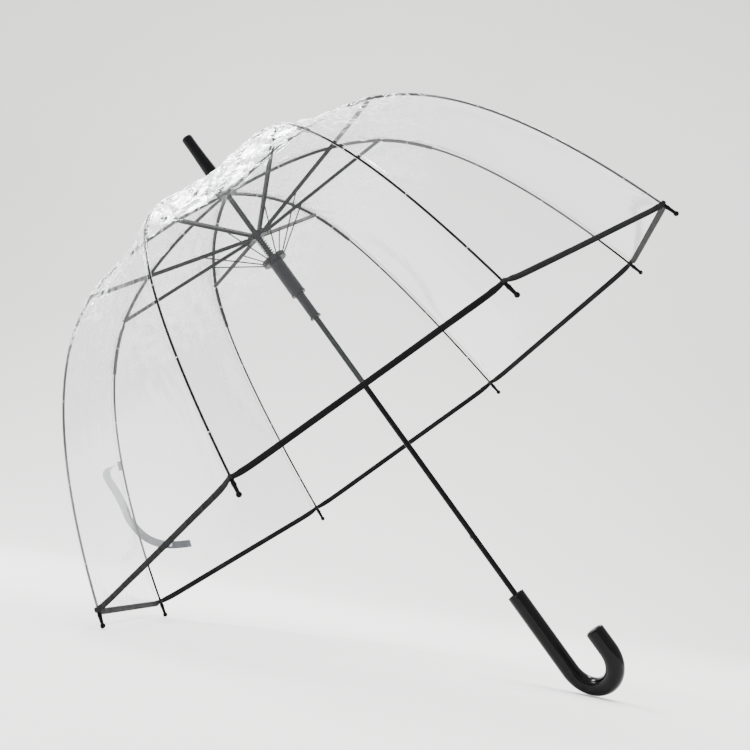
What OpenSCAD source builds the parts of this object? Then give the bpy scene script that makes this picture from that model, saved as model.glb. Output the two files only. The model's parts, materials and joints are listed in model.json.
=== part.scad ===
// Clear dome umbrella, open, straight, with an automatic opening spring.
// +Z runs up the shaft to the ferrule, +X points to the open side of the crook,
// and the origin is the middle of the straight grip. Sizes are in millimetres.

/* [Part] */

// Sub-part to show, or all

/* [Dome] */

// Radius of a hem corner, on a rib
hem_radius = 410; // [300:5:520]
// Height of the hem corners above the grip
hem_height = 308; // [200:1:400]
// Height of the rib pivots in the crown
crown_height = 655; // [560:1:760]
// Radius of the ring of rib pivots, and of stretcher pivots
ring_radius = 10; // [9:0.5:14]
// Radius of the joint between a rib and its stretcher
joint_radius = 217.3; // [180:0.1:260]
// Height of the joint between a rib and its stretcher
joint_height = 622; // [560:1:640]
// Slope of a rib at the crown, downwards
crown_slope = -2; // [-6:0.5:6]
// Slope of a rib at the stretcher joint, downwards
joint_slope = 27; // [15:1:40]
// Slope of a rib at the hem, downwards
hem_slope = 73; // [60:1:85]

/* [Ribs and stretchers] */

// Width of the upper rib channel
rib_width = 3.2; // [2.6:0.1:4]
// Depth of the upper rib channel
rib_depth = 3; // [2.4:0.1:4]
// Width of the thick part of the lower rib
thick_width = 3.8; // [2.8:0.1:4.4]
// Radius of the rib wire below the step
wire_radius = 1.35; // [1:0.05:2]
// Where the thick part of the lower rib ends, as a share of it
step_share = 0.26; // [0.1:0.01:0.5]
// Outer width of a stretcher channel
stretcher_width = 4.6; // [4.4:0.1:6]
// Depth of a stretcher channel
stretcher_depth = 3.6; // [3:0.1:5]
// Sheet thickness of the channels
sheet = 0.5; // [0.4:0.05:0.8]
// Distance from a stretcher's inner pivot to its link pivot
link_offset = 67.5; // [40:0.5:100]
// Radius of a link wire
link_radius = 0.8; // [0.6:0.05:1.2]
// Radius of the rivets
rivet_radius = 0.8; // [0.6:0.05:1]
// Thickness of the flattened ends
eye_thickness = 1.6; // [1.2:0.1:2]
// Length of a tip below the hem
tip_length = 20; // [12:1:30]
// Radius of the ball at the end of a tip
tip_ball = 3; // [2.2:0.1:4]

/* [Canopy] */

// Thickness of the film
film_thickness = 0.2; // [0.15:0.05:0.6]
// Gap from the middle of a rib to the film over it
film_offset = 3; // [2.6:0.1:4]
// Height of the hem tape
tape_height = 7; // [5:0.5:12]
// Thickness of one side of the hem tape
tape_side = 0.5; // [0.3:0.1:1]

/* [Shaft] */

// Outer radius of the shaft
shaft_radius = 3.5; // [3:0.1:6]
// Inner radius of the shaft tube
shaft_bore = 2.9; // [2:0.1:5]
// Lower end of the shaft, inside the handle
shaft_bottom = -12; // [-30:1:0]
// Upper end of the shaft, inside the ferrule
shaft_top = 705; // [690:1:740]
// Radial clearance of the sliding parts on the shaft
slide_gap = 0.08; // [0.05:0.01:0.1]

/* [Runner] */

// Height of the ring of link pivots
runner_height = 552; // [520:1:580]
// Radius of the ring of link pivots
runner_ring = 13.4; // [12:0.1:16]
// Radius of the wide sleeve
wide_radius = 9; // [8:0.1:11]
// Length of the wide sleeve below the pivots
wide_length = 53; // [30:1:70]
// Radius of the narrow sleeve
narrow_radius = 5.9; // [5:0.1:8]
// Length of the whole runner below the pivots
runner_length = 89; // [60:1:120]
// Radius of the chamber that holds the spring
chamber_radius = 7; // [6:0.1:8]
// Radius of the coil's middle line
coil_radius = 5; // [4.5:0.1:6]
// Radius of the spring wire
coil_wire = 0.65; // [0.4:0.05:1]
// Turns of the spring
coil_turns = 24; // [8:1:26]

/* [Handle] */

// Radius of the grip
grip_radius = 10.5; // [8:0.5:14]
// Top of the grip
grip_top = 56; // [40:1:90]
// Where the bend of the crook starts
bend_height = -52; // [-80:1:-30]
// Radius of the crook's middle line
crook_radius = 34; // [28:1:45]
// Straight length after the bend
crook_end = 26; // [10:1:50]

/* [Ferrule] */

// Bottom of the ferrule
ferrule_bottom = 687; // [670:1:700]
// Top of the ferrule
ferrule_top = 745; // [720:1:800]
// Radius at the bottom of the ferrule
ferrule_wide = 8.3; // [6:0.1:12]
// Radius at the top of the ferrule
ferrule_narrow = 7; // [5:0.1:10]
// Length of the straight end of the ferrule
ferrule_end = 20; // [10:1:30]

/* [Catch] */

// Height of the flat underside of the catch's nose
catch_height = 137.5; // [100:0.5:180]
// Height of the nose
catch_rise = 12.5; // [8:0.5:20]
// How far the nose stands out of the shaft
catch_reach = 2.3; // [1:0.1:4]

/* [Strap] */

// Width of the closing strap
strap_width = 10; // [8:1:20]
// Thickness of the closing strap
strap_sheet = 0.5; // [0.3:0.1:1]
// Share of the lower rib where the strap starts
strap_share = 0.6; // [0.3:0.01:0.7]
// Share of the lower rib down to which the strap hangs
strap_reach = 0.91; // [0.75:0.01:1]
// How far the strap's loop stands out near its start
strap_loop = 19; // [5:1:30]
// How far to the side the free end lies
strap_drift = 78; // [0:1:90]

/* [Hidden] */

$fn = 48;
count = 8;
half_angle = 180 / count;
gap = 0.15;
eps = 0.01;
black = [0.05, 0.05, 0.06];
steel = [0.45, 0.47, 0.5];
clear = [0.85, 0.9, 0.95, 0.3];

crown_pivot = [ring_radius, crown_height];
joint_pivot = [joint_radius, joint_height];
hub_height = 2 * joint_height - crown_height;
hub_pivot = [ring_radius, hub_height];
hem_point = [hem_radius, hem_height];
arm = norm(joint_pivot - crown_pivot);
arm_slope = asin((crown_height - joint_height) / arm);
link_pivot = hub_pivot + link_offset * [cos(arm_slope), sin(arm_slope)];
runner_pivot = [runner_ring, runner_height];
link_length = norm(link_pivot - runner_pivot);
link_slope = atan2(link_pivot.y - runner_height, link_pivot.x - runner_ring);

// Closed, the stretcher joint stands this far from the shaft's axis
folded_radius = 18;
folded_slope = acos((folded_radius - ring_radius) / arm);
hub_folded = crown_height - 2 * arm * sin(folded_slope);
link_folded = [ring_radius, hub_folded] + link_offset * [cos(folded_slope), sin(folded_slope)];
runner_folded = link_folded.y - sqrt(pow(link_length, 2) - pow(runner_ring - link_folded.x, 2));
runner_travel = runner_height - runner_folded;

// Meeting point of a line leaving p at slope a with a line arriving at q at slope b
function bend_control(p, q, a, b) =
    p + [cos(a), -sin(a)] * ((q.x - p.x) * sin(b) + (q.y - p.y) * cos(b)) / sin(b - a);

function curve(p, c, q, t) = pow(1 - t, 2) * p + 2 * t * (1 - t) * c + pow(t, 2) * q;

upper_control = bend_control(crown_pivot, joint_pivot, crown_slope, joint_slope);
lower_control = bend_control(joint_pivot, hem_point, joint_slope, hem_slope);

function upper_rib(t) = curve(crown_pivot, upper_control, joint_pivot, t);
function lower_rib(t) = curve(joint_pivot, lower_control, hem_point, t);

function tangent(points, i) =
    let (a = points[max(i - 1, 0)], b = points[min(i + 1, len(points) - 1)]) (b - a) / norm(b - a);

// Points moved outwards, square to the path, by a distance
function shifted(points, distance) =
    [for (i = [0:len(points) - 1]) let (d = tangent(points, i)) points[i] + distance * [-d.y, d.x]];

hem_step = [cos(hem_slope), -sin(hem_slope)];
upper_path = [for (i = [1:16]) upper_rib(i / 16)];
lower_path = [for (i = [1:18]) lower_rib(i / 18)];
film_path = concat([[5, crown_height + 5.4], [12.8, crown_height + 5.3]],
    shifted(concat(upper_path, lower_path), film_offset));

// Closed solid between two neighbouring rib planes from an outline in the radius-height plane.
// Patches are convex groups of the outline's points that together fill each end.
module between_ribs(outline, patches) {
    n = len(outline);
    points = concat(
        [for (p = outline) [p.x * cos(half_angle), p.x * sin(half_angle) - gap, p.y]],
        [for (p = outline) [p.x * cos(half_angle), -p.x * sin(half_angle) + gap, p.y]]);
    faces = concat(
        patches,
        [for (patch = patches) [for (k = [len(patch) - 1:-1:0]) n + patch[k]]],
        [for (i = [0:n - 1]) [i, i + n, (i + 1) % n + n, (i + 1) % n]]);
    polyhedron(points, faces, convexity = 6);
}

// Bar along a path in the radius-height plane; the section is a list of [outward, sideways]
module bar_along(path, section) {
    n = len(section);
    m = len(path);
    points = [for (i = [0:m - 1]) let (d = tangent(path, i))
        for (s = section) [path[i].x - s.x * d.y, s.y, path[i].y + s.x * d.x]];
    faces = concat(
        [[for (j = [0:n - 1]) j]],
        [[for (j = [0:n - 1]) m * n - 1 - j]],
        [for (i = [0:m - 2]) for (j = [0:n - 1])
            [i * n + j, (i + 1) * n + j, (i + 1) * n + (j + 1) % n]],
        [for (i = [0:m - 2]) for (j = [0:n - 1])
            [i * n + j, (i + 1) * n + (j + 1) % n, i * n + (j + 1) % n]]);
    polyhedron(points, faces, convexity = 6);
}

function round_section(r, n) = [for (j = [0:n - 1]) r * [cos(360 * j / n), -sin(360 * j / n)]];

function box_section(depth, width) =
    [[depth, -width] / 2, [-depth, -width] / 2, [-depth, width] / 2, [depth, width] / 2];

// Channel, open on its inner side
function channel_section(depth, width) = [[depth, -width] / 2, [-depth, -width] / 2,
    [-depth / 2, sheet - width / 2], [depth / 2 - sheet, sheet - width / 2],
    [depth / 2 - sheet, width / 2 - sheet], [-depth / 2, width / 2 - sheet],
    [-depth, width] / 2, [depth, width] / 2];

// Frame at a point of the radius-height plane, with +X turned down by a slope
module at_point(p, slope) {
    translate([p.x, 0, p.y])
        rotate([0, slope, 0])
            children();
}

// Cylinder across the rib plane
module across(r, width) {
    rotate([90, 0, 0])
        cylinder(h = width, r = r, center = true);
}

// Flat eye round the local origin, with a shank along +X
module eye(r, thickness, reach, low, high) {
    across(r, thickness);
    translate([0, -thickness / 2, low])
        cube([reach, thickness, high - low]);
}

module around(i) {
    rotate([0, 0, half_angle * (2 * i + 1)])
        children();
}

// Slotted ring that holds eight flat eyes on a wire
module notch_ring(pivot_radius, outer, low, high, roof, slot_floor) {
    difference() {
        translate([0, 0, low])
            cylinder(h = roof - low, r = outer);
        for (i = [0:count - 1])
            around(i)
                translate([slot_floor, -1.1, low - 1])
                    cube([outer, 2.2, high - low + 1]);
        translate([0, 0, low - 1])
            cylinder(h = roof - low + 2, r = shaft_radius + slide_gap);
    }
    tie_wire(pivot_radius);
}

module tie_wire(r) {
    rotate_extrude()
        translate([r, 0])
            circle(r = 0.6, $fn = 24);
}

module rib_upper(i) {
    hole = rivet_radius + 0.07;
    body = [for (k = [0:15]) upper_rib(0.026 + k * 0.961 / 15)];
    color(black)
        around(i)
            difference() {
                union() {
                    bar_along(body, channel_section(rib_depth, rib_width));
                    at_point(crown_pivot, crown_slope)
                        eye(1.9, eye_thickness, 14, -1.2, 1.25);
                    for (s = [-1, 1])
                        at_point(joint_pivot, joint_slope)
                            translate([0, s * (rib_width - sheet) / 2, 0])
                                rotate([0, 180, 0])
                                    eye(rib_depth / 2, sheet, 6, -rib_depth / 2, rib_depth / 2);
                }
                at_point(crown_pivot, 0)
                    across(0.7, 4);
                at_point(joint_pivot, 0)
                    across(hole, 6);
            }
}

module rib_lower(i) {
    tip_start = hem_point + 1.5 * hem_step;
    thick = [for (k = [0:9]) lower_rib(0.024 + k * (step_share - 0.024) / 9)];
    thin = [for (k = [0:17]) lower_rib(step_share - 0.02 + k * (1.02 - step_share) / 17)];
    color(black)
        around(i) {
            difference() {
                union() {
                    bar_along(thick, box_section(rib_depth - 0.2, thick_width));
                    at_point(joint_pivot, joint_slope)
                        eye(1.4, eye_thickness, 12, -1, 1);
                }
                at_point(joint_pivot, 0)
                    across(rivet_radius + 0.07, 4);
            }
            bar_along(concat(thin, [hem_point + 8 * hem_step]), round_section(wire_radius, 8));
            at_point(tip_start, hem_slope)
                rotate([0, 90, 0])
                    rib_tip();
        }
}

// Tip that stands on the end of the wire, pointing along +Z
module rib_tip() {
    difference() {
        union() {
            cylinder(h = 5, r1 = 2.1, r2 = 2.7, $fn = 32);
            translate([0, 0, 5])
                cylinder(h = tip_length - 9, r1 = 2.2, r2 = 1.8, $fn = 32);
            translate([0, 0, tip_length - 1.5 - tip_ball])
                sphere(r = tip_ball, $fn = 32);
        }
        translate([0, 0, -1])
            cylinder(h = 7.6, r = wire_radius + 0.02, $fn = 32);
    }
}

module stretcher(i) {
    inner = stretcher_width / 2 - sheet;
    color(black)
        around(i)
            at_point(hub_pivot, -arm_slope)
                difference() {
                    union() {
                        translate([5, 0, 0])
                            rotate([90, 0, 90])
                                linear_extrude(height = arm - 12)
                                    polygon([for (p = channel_section(stretcher_depth, stretcher_width))
                                        [p.y, p.x]]);
                        eye(2, eye_thickness, 14, -1.2, 1.5);
                        for (s = [-1, 1])
                            translate([arm, s * (inner + sheet / 2), 0])
                                rotate([0, 180, 0])
                                    eye(2, sheet, 10, -1.8, 1.8);
                        for (x = [link_offset, arm])
                            translate([x, 0, 0])
                                rivet();
                    }
                    across(0.7, 4);
                    translate([link_offset - 2.2, -1.1, 1])
                        cube([4.4, 2.2, stretcher_depth]);
                }
}

module rivet() {
    across(rivet_radius, stretcher_width + 0.2);
    for (s = [-1, 1])
        translate([0, s * (stretcher_width / 2 + 0.2), 0])
            across(1.4, 0.4);
}

module link(i) {
    color(black)
        around(i)
            at_point(runner_pivot, -link_slope)
                difference() {
                    union() {
                        for (x = [0, link_length])
                            translate([x, 0, 0])
                                across(1.7, eye_thickness);
                        translate([1, 0, 0])
                            rotate([0, 90, 0])
                                cylinder(h = link_length - 2, r = link_radius, $fn = 24);
                    }
                    across(0.7, 4);
                    translate([link_length, 0, 0])
                        across(rivet_radius + 0.07, 4);
                }
}

module gore(i) {
    m = len(film_path);
    outer = shifted(film_path, film_thickness);
    color(clear)
        rotate([0, 0, 2 * half_angle * i])
            between_ribs(
                concat(film_path, [for (k = [m - 1:-1:0]) outer[k]]),
                [for (k = [0:m - 2]) [k, k + 1, 2 * m - 2 - k, 2 * m - 1 - k]]);
}

module hem_tape(i) {
    edge = film_path[len(film_path) - 1];
    up = -hem_step;
    out = [-hem_step.y, hem_step.x];
    low = edge + 1.2 * hem_step;
    lip = edge + 0.1 * hem_step;
    color(black)
        rotate([0, 0, 2 * half_angle * i])
            between_ribs([
                low + (film_thickness + 0.1 + tape_side) * out,
                low + tape_height * up + (film_thickness + 0.1 + tape_side) * out,
                low + tape_height * up + (film_thickness + 0.1) * out,
                lip + (film_thickness + 0.1) * out,
                lip - 0.1 * out,
                low + tape_height * up - 0.1 * out,
                low + tape_height * up - (0.1 + tape_side) * out,
                low - (0.1 + tape_side) * out],
                [[0, 1, 2, 3], [0, 3, 4, 7], [4, 5, 6, 7]]);
}

module shaft_tube() {
    color(black)
        difference() {
            translate([0, 0, shaft_bottom])
                cylinder(h = shaft_top - shaft_bottom, r = shaft_radius);
            translate([0, 0, shaft_bottom - 1])
                cylinder(h = shaft_top - shaft_bottom + 2, r = shaft_bore);
            translate([-shaft_radius - 2, -0.8, catch_height - 0.4])
                cube([shaft_radius + 2, 1.6, catch_rise + 0.9]);
        }
}

module bottom_catch() {
    tip = -shaft_radius - catch_reach;
    color(steel)
        rotate([90, 0, 0])
            linear_extrude(height = 1.2, center = true)
                polygon([[-0.4, catch_height - 9], [-0.4, catch_height + catch_rise + 8],
                    [-2.2, catch_height + catch_rise + 8], [-2.2, catch_height + catch_rise],
                    [tip, catch_height + 1.5], [tip, catch_height], [-2.2, catch_height],
                    [-2.2, catch_height - 9]]);
}

module handle() {
    color(black)
        difference() {
            union() {
                translate([0, 0, bend_height])
                    cylinder(h = grip_top - bend_height, r = grip_radius);
                translate([crook_radius, 0, bend_height])
                    rotate([90, 0, 0])
                        rotate([0, 0, 180])
                            rotate_extrude(angle = 180)
                                translate([crook_radius, 0])
                                    circle(r = grip_radius);
                translate([2 * crook_radius, 0, bend_height])
                    crook_tip();
            }
            translate([0, 0, shaft_bottom - 0.1])
                cylinder(h = grip_top - shaft_bottom + 1, r = shaft_radius + 0.01);
        }
}

// Short straight end of the crook with a rounded rim
module crook_tip() {
    rim = 4;
    rotate_extrude() {
        square([grip_radius, crook_end - rim]);
        translate([0, crook_end - rim - eps])
            square([grip_radius - rim, rim + eps]);
        translate([grip_radius - rim, crook_end - rim])
            intersection() {
                circle(r = rim);
                square(rim);
            }
    }
}

module ferrule() {
    color(black)
        difference() {
            rotate_extrude()
                polygon([[0, ferrule_bottom], [ferrule_wide, ferrule_bottom],
                    [ferrule_narrow, ferrule_top - ferrule_end],
                    [ferrule_narrow, ferrule_top - 1.5], [ferrule_narrow - 1.5, ferrule_top],
                    [0, ferrule_top]]);
            translate([0, 0, ferrule_bottom - 1])
                cylinder(h = shaft_top - ferrule_bottom + 1.2, r = shaft_radius + 0.01);
        }
}

module top_collar() {
    low = crown_height + 6;
    color([0.8, 0.85, 0.9, 0.5])
        difference() {
            rotate_extrude()
                polygon([[0, low], [11.5, low], [11.5, low + 1.5], [8.6, low + 7],
                    [7.6, ferrule_bottom - 0.1], [0, ferrule_bottom - 0.1]]);
            translate([0, 0, low - 1])
                cylinder(h = ferrule_bottom - low + 2, r = shaft_radius + 0.01);
        }
}

module crown() {
    color(black)
        translate([0, 0, crown_height])
            notch_ring(ring_radius, 12.6, -3.5, 2.3, 5.2, 7.4);
}

module upper_hub() {
    color(black)
        translate([0, 0, hub_height])
            notch_ring(ring_radius, 12.6, -3.5, 3.5, 3.5, 7.4);
}

module runner() {
    slot_low = runner_height - runner_length - 1;
    slot_high = catch_height + runner_travel + catch_rise - 0.3;
    color(black) {
        difference() {
            union() {
                translate([0, 0, runner_height - 3])
                    cylinder(h = 6.5, r = 15.6);
                translate([0, 0, runner_height - wide_length])
                    cylinder(h = wide_length, r = wide_radius);
                translate([0, 0, runner_height - runner_length])
                    cylinder(h = runner_length, r = narrow_radius);
                translate([0, 0, runner_height - runner_length])
                    cylinder(h = 2.6, r = narrow_radius + 1.3);
                translate([0, 0, runner_height - wide_length])
                    cylinder(h = 3, r = wide_radius + 0.6);
            }
            translate([0, 0, runner_height - wide_length + 3])
                cylinder(h = wide_length + 1, r = chamber_radius);
            translate([0, 0, runner_height - runner_length - 1])
                cylinder(h = runner_length, r = shaft_radius + slide_gap);
            for (i = [0:count - 1])
                around(i)
                    translate([11, -1.1, runner_height - 4])
                        cube([6, 2.2, 8]);
            translate([-narrow_radius - 3, -1, slot_low])
                cube([narrow_radius + 3, 2, slot_high - slot_low]);
        }
        translate([0, 0, runner_height])
            tie_wire(runner_ring);
    }
}

module opening_spring() {
    low = runner_height - wide_length + 3.1 + coil_wire;
    high = hub_height - 3.6 - coil_wire;
    steps = 16 * coil_turns;
    n = 6;
    pitch_angle = atan((high - low) / (coil_turns * 2 * PI * coil_radius));
    points = [for (k = [0:steps])
        let (a = 360 * k / 16, z = low + (high - low) * k / steps)
            for (j = [0:n - 1])
                let (u = coil_wire * cos(360 * j / n), v = coil_wire * sin(360 * j / n))
                    [(coil_radius + u) * cos(a) + v * sin(pitch_angle) * sin(a),
                        (coil_radius + u) * sin(a) - v * sin(pitch_angle) * cos(a),
                        z + v * cos(pitch_angle)]];
    faces = concat(
        [[for (j = [0:n - 1]) j]],
        [[for (j = [0:n - 1]) (steps + 1) * n - 1 - j]],
        [for (k = [0:steps - 1]) for (j = [0:n - 1])
            [k * n + j, (k + 1) * n + j, (k + 1) * n + (j + 1) % n]],
        [for (k = [0:steps - 1]) for (j = [0:n - 1])
            [k * n + j, (k + 1) * n + (j + 1) % n, k * n + (j + 1) % n]]);
    color(black)
        polyhedron(points, faces, convexity = 10);
}

strap_rib = 4;
strap_steps = 26;
strap_path = [for (k = [0:strap_steps]) strap_point(k / strap_steps)];

// The strap loops out from the film, falls back against it and drifts to one side
function strap_point(u) =
    let (t = strap_share + (strap_reach - strap_share) * u,
        lift = film_offset + film_thickness + 1.8 + 4 * min(8 * u, 1)
            + strap_loop * 10 * u * exp(1 - 10 * u),
        slope = joint_slope + (hem_slope - joint_slope) * t,
        side = 6 * sin(180 * u) - strap_drift * (pow(u, 3) + pow(u, 10)) / 2,
        p = lower_rib(t) + lift * [sin(slope), cos(slope)])
            [p.x - abs(side) * tan(half_angle), side, p.y];

// Columns along, across and out of the strap at one point of its path
function strap_axes(k) =
    let (d = tangent(strap_path, k), across = [0, 1, 0] - d.y * d, w = across / norm(across))
        [d, w, cross(d, w)];

module closing_strap() {
    section = box_section(strap_sheet, strap_width);
    points = [for (k = [0:strap_steps]) let (axes = strap_axes(k))
        for (s = section) strap_path[k] + s.x * axes[2] + s.y * axes[1]];
    faces = concat(
        [[0, 1, 2, 3]],
        [[for (j = [3:-1:0]) 4 * strap_steps + j]],
        [for (k = [0:strap_steps - 1]) for (j = [0:3])
            [4 * k + j, 4 * k + 4 + j, 4 * k + 4 + (j + 1) % 4]],
        [for (k = [0:strap_steps - 1]) for (j = [0:3])
            [4 * k + j, 4 * k + 4 + (j + 1) % 4, 4 * k + (j + 1) % 4]]);
    color(clear)
        around(strap_rib)
            polyhedron(points, faces, convexity = 6);
}

module strap_snap() {
    place = strap_path[strap_steps - 2];
    axes = strap_axes(strap_steps - 2);
    color(steel)
        around(strap_rib)
            multmatrix([for (c = [0:2]) [axes[0][c], axes[1][c], axes[2][c], place[c]]]) {
                translate([0, 0, 0.3])
                    cylinder(h = 1, r1 = 4.2, r2 = 3.4, $fn = 32);
                translate([0, 0, -1.9])
                    cylinder(h = 1.6, r = 2.6, $fn = 32);
            }
}

shaft_tube();
handle();
bottom_catch();
ferrule();
top_collar();
crown();
upper_hub();
runner();
opening_spring();
closing_strap();
strap_snap();
rib_upper(0);  // rib_upper_0
rib_upper(1);  // rib_upper_1
rib_upper(2);  // rib_upper_2
rib_upper(3);  // rib_upper_3
rib_upper(4);  // rib_upper_4
rib_upper(5);  // rib_upper_5
rib_upper(6);  // rib_upper_6
rib_upper(7);  // rib_upper_7
rib_lower(0);  // rib_lower_0
rib_lower(1);  // rib_lower_1
rib_lower(2);  // rib_lower_2
rib_lower(3);  // rib_lower_3
rib_lower(4);  // rib_lower_4
rib_lower(5);  // rib_lower_5
rib_lower(6);  // rib_lower_6
rib_lower(7);  // rib_lower_7
stretcher(0);  // stretcher_0
stretcher(1);  // stretcher_1
stretcher(2);  // stretcher_2
stretcher(3);  // stretcher_3
stretcher(4);  // stretcher_4
stretcher(5);  // stretcher_5
stretcher(6);  // stretcher_6
stretcher(7);  // stretcher_7
link(0);  // link_0
link(1);  // link_1
link(2);  // link_2
link(3);  // link_3
link(4);  // link_4
link(5);  // link_5
link(6);  // link_6
link(7);  // link_7
gore(0);  // gore_0
gore(1);  // gore_1
gore(2);  // gore_2
gore(3);  // gore_3
gore(4);  // gore_4
gore(5);  // gore_5
gore(6);  // gore_6
gore(7);  // gore_7
hem_tape(0);  // hem_tape_0
hem_tape(1);  // hem_tape_1
hem_tape(2);  // hem_tape_2
hem_tape(3);  // hem_tape_3
hem_tape(4);  // hem_tape_4
hem_tape(5);  // hem_tape_5
hem_tape(6);  // hem_tape_6
hem_tape(7);  // hem_tape_7
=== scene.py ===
"""Clear dome umbrella: the looks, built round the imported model. Lengths are in metres."""

import json
import math

import bpy
from mathutils import Matrix, Vector, noise


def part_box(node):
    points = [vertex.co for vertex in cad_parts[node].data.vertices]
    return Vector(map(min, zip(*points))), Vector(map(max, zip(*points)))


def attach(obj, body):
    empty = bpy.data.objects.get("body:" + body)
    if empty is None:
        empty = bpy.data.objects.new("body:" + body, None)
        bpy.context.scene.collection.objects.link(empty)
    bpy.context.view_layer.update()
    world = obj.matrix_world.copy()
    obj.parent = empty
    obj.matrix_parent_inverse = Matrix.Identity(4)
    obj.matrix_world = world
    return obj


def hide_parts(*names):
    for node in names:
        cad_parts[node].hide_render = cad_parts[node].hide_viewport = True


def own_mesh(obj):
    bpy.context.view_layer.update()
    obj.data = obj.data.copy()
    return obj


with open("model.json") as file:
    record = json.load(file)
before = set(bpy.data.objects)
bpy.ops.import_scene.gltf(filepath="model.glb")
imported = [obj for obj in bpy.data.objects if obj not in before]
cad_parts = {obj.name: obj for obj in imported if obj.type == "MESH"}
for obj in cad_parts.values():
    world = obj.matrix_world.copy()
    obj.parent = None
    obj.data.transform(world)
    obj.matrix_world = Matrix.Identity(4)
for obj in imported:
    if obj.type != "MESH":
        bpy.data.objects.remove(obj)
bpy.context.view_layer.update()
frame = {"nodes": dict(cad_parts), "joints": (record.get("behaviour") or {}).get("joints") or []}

MM = 0.001
COUNT = 8
STEP = math.tau / COUNT
HALF = STEP / 2
Z = Vector((0, 0, 1))

# --- Camera -------------------------------------------------------------------------------------

CAMERA_PLACE = Vector((1.1686, -1.2012, 0.1213))
CAMERA_FORWARD = Vector((-0.6828, 0.7164, 0.1432)).normalized()
CAMERA_UP = Vector((0.5041, 0.3202, 0.8021)).normalized()
CAMERA_LENS = 67.46


def axes_matrix(x, y, z, place):
    """Matrix whose columns are three axes and a place."""
    return Matrix.Translation(place) @ Matrix((x, y, z)).transposed().to_4x4()


def make_camera():
    data = bpy.data.cameras.new("camera")
    data.lens = CAMERA_LENS
    data.clip_start = 0.05
    data.clip_end = 60
    camera = bpy.data.objects.new("camera", data)
    bpy.context.scene.collection.objects.link(camera)
    right = CAMERA_FORWARD.cross(CAMERA_UP).normalized()
    up = right.cross(CAMERA_FORWARD)
    camera.matrix_world = axes_matrix(right, up, -CAMERA_FORWARD, CAMERA_PLACE)
    bpy.context.scene.camera = camera


make_camera()

# --- The umbrella's lines, from the frame's joints ------------------------------------------------

JOINTS = {j["name"]: j for j in frame["joints"]}


def ring_point(joint):
    """A joint's place as (radius, height)."""
    x, y, z = JOINTS[joint]["pos_m"]
    return Vector((math.hypot(x, y), z))


CROWN = ring_point("frame_fold")
ELBOW = ring_point("rib_flex_0")
HEM = Vector((0.410, 0.308))
CROWN_SLOPE, ELBOW_SLOPE, HEM_SLOPE = (math.radians(a) for a in (-2, 27, 73))
FILM_OFFSET = 1.75 * MM


def bend_control(p, q, a, b):
    """Where a line leaving p at slope a meets a line reaching q at slope b."""
    run = ((q.x - p.x) * math.sin(b) + (q.y - p.y) * math.cos(b)) / math.sin(b - a)
    return p + Vector((math.cos(a), -math.sin(a))) * run


UPPER_CONTROL = bend_control(CROWN, ELBOW, CROWN_SLOPE, ELBOW_SLOPE)
LOWER_CONTROL = bend_control(ELBOW, HEM, ELBOW_SLOPE, HEM_SLOPE)


def bezier(p, c, q, t):
    return p * (1 - t) ** 2 + c * (2 * t * (1 - t)) + q * t**2


class Line:
    """A line in the radius-height plane that can be read at any length along it."""

    def __init__(self, points):
        self.points = points
        self.lengths = [0.0]
        for a, b in zip(points, points[1:]):
            self.lengths.append(self.lengths[-1] + (b - a).length)
        self.length = self.lengths[-1]

    def at(self, s):
        """Point and direction at length s; the line runs straight on past its ends."""
        k = 0
        while k < len(self.points) - 2 and self.lengths[k + 1] < s:
            k += 1
        a, b = self.points[k], self.points[k + 1]
        direction = (b - a).normalized()
        return a + direction * (s - self.lengths[k]), direction


def outward(direction):
    return Vector((-direction.y, direction.x))


def shifted(points, distance):
    """The points moved outwards, square to their line."""
    line = Line(points)
    made = []
    for k, p in enumerate(points):
        before = points[max(k - 1, 0)]
        after = points[min(k + 1, len(points) - 1)]
        made.append(p + outward((after - before).normalized()) * distance)
    return made


UPPER_RIB = [bezier(CROWN, UPPER_CONTROL, ELBOW, k / 40) for k in range(41)]
LOWER_RIB = [bezier(ELBOW, LOWER_CONTROL, HEM, k / 60) for k in range(61)]
APEX = [Vector((4.2 * MM, CROWN.y + 5.5 * MM)), Vector((12.9 * MM, CROWN.y + 5.3 * MM))]
FILM_TOP = APEX + shifted(UPPER_RIB + LOWER_RIB[1:], FILM_OFFSET)[3:41]
FILM_LOW = shifted(UPPER_RIB + LOWER_RIB[1:], FILM_OFFSET)[40:]
UPPER_FILM = Line(FILM_TOP)
FILM = Line(FILM_TOP + FILM_LOW[1:])
ELBOW_LENGTH = UPPER_FILM.length
HEM_LENGTH = FILM.length

# --- Helpers -------------------------------------------------------------------------------------


def smooth(a, b, x):
    """0 below a, 1 above b, smooth between."""
    t = min(max((x - a) / (b - a), 0), 1)
    return t * t * (3 - 2 * t)


def turned(angle):
    return Matrix.Rotation(angle, 4, "Z")


def rib_angle(i):
    return HALF + STEP * i


def add_mesh(name, points, faces, material, soft_edges=True):
    mesh = bpy.data.meshes.new(name)
    mesh.from_pydata([tuple(p) for p in points], [], faces)
    mesh.validate()
    mesh.update()
    mesh.materials.append(material)
    piece = bpy.data.objects.new(name, mesh)
    bpy.context.scene.collection.objects.link(piece)
    if soft_edges:
        mesh.shade_smooth()
    return piece


def ring_faces(rings, count, closed_ends=True, loop=False):
    """Quads between rings of points, with caps at the ends."""
    faces = []
    for k in range(rings if loop else rings - 1):
        low, high = k * count, (k + 1) % rings * count
        for j in range(count):
            n = (j + 1) % count
            faces.append((low + j, low + n, high + n, high + j))
    if closed_ends and not loop:
        faces.append(tuple(reversed(range(count))))
        faces.append(tuple(range((rings - 1) * count, rings * count)))
    return faces


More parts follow.
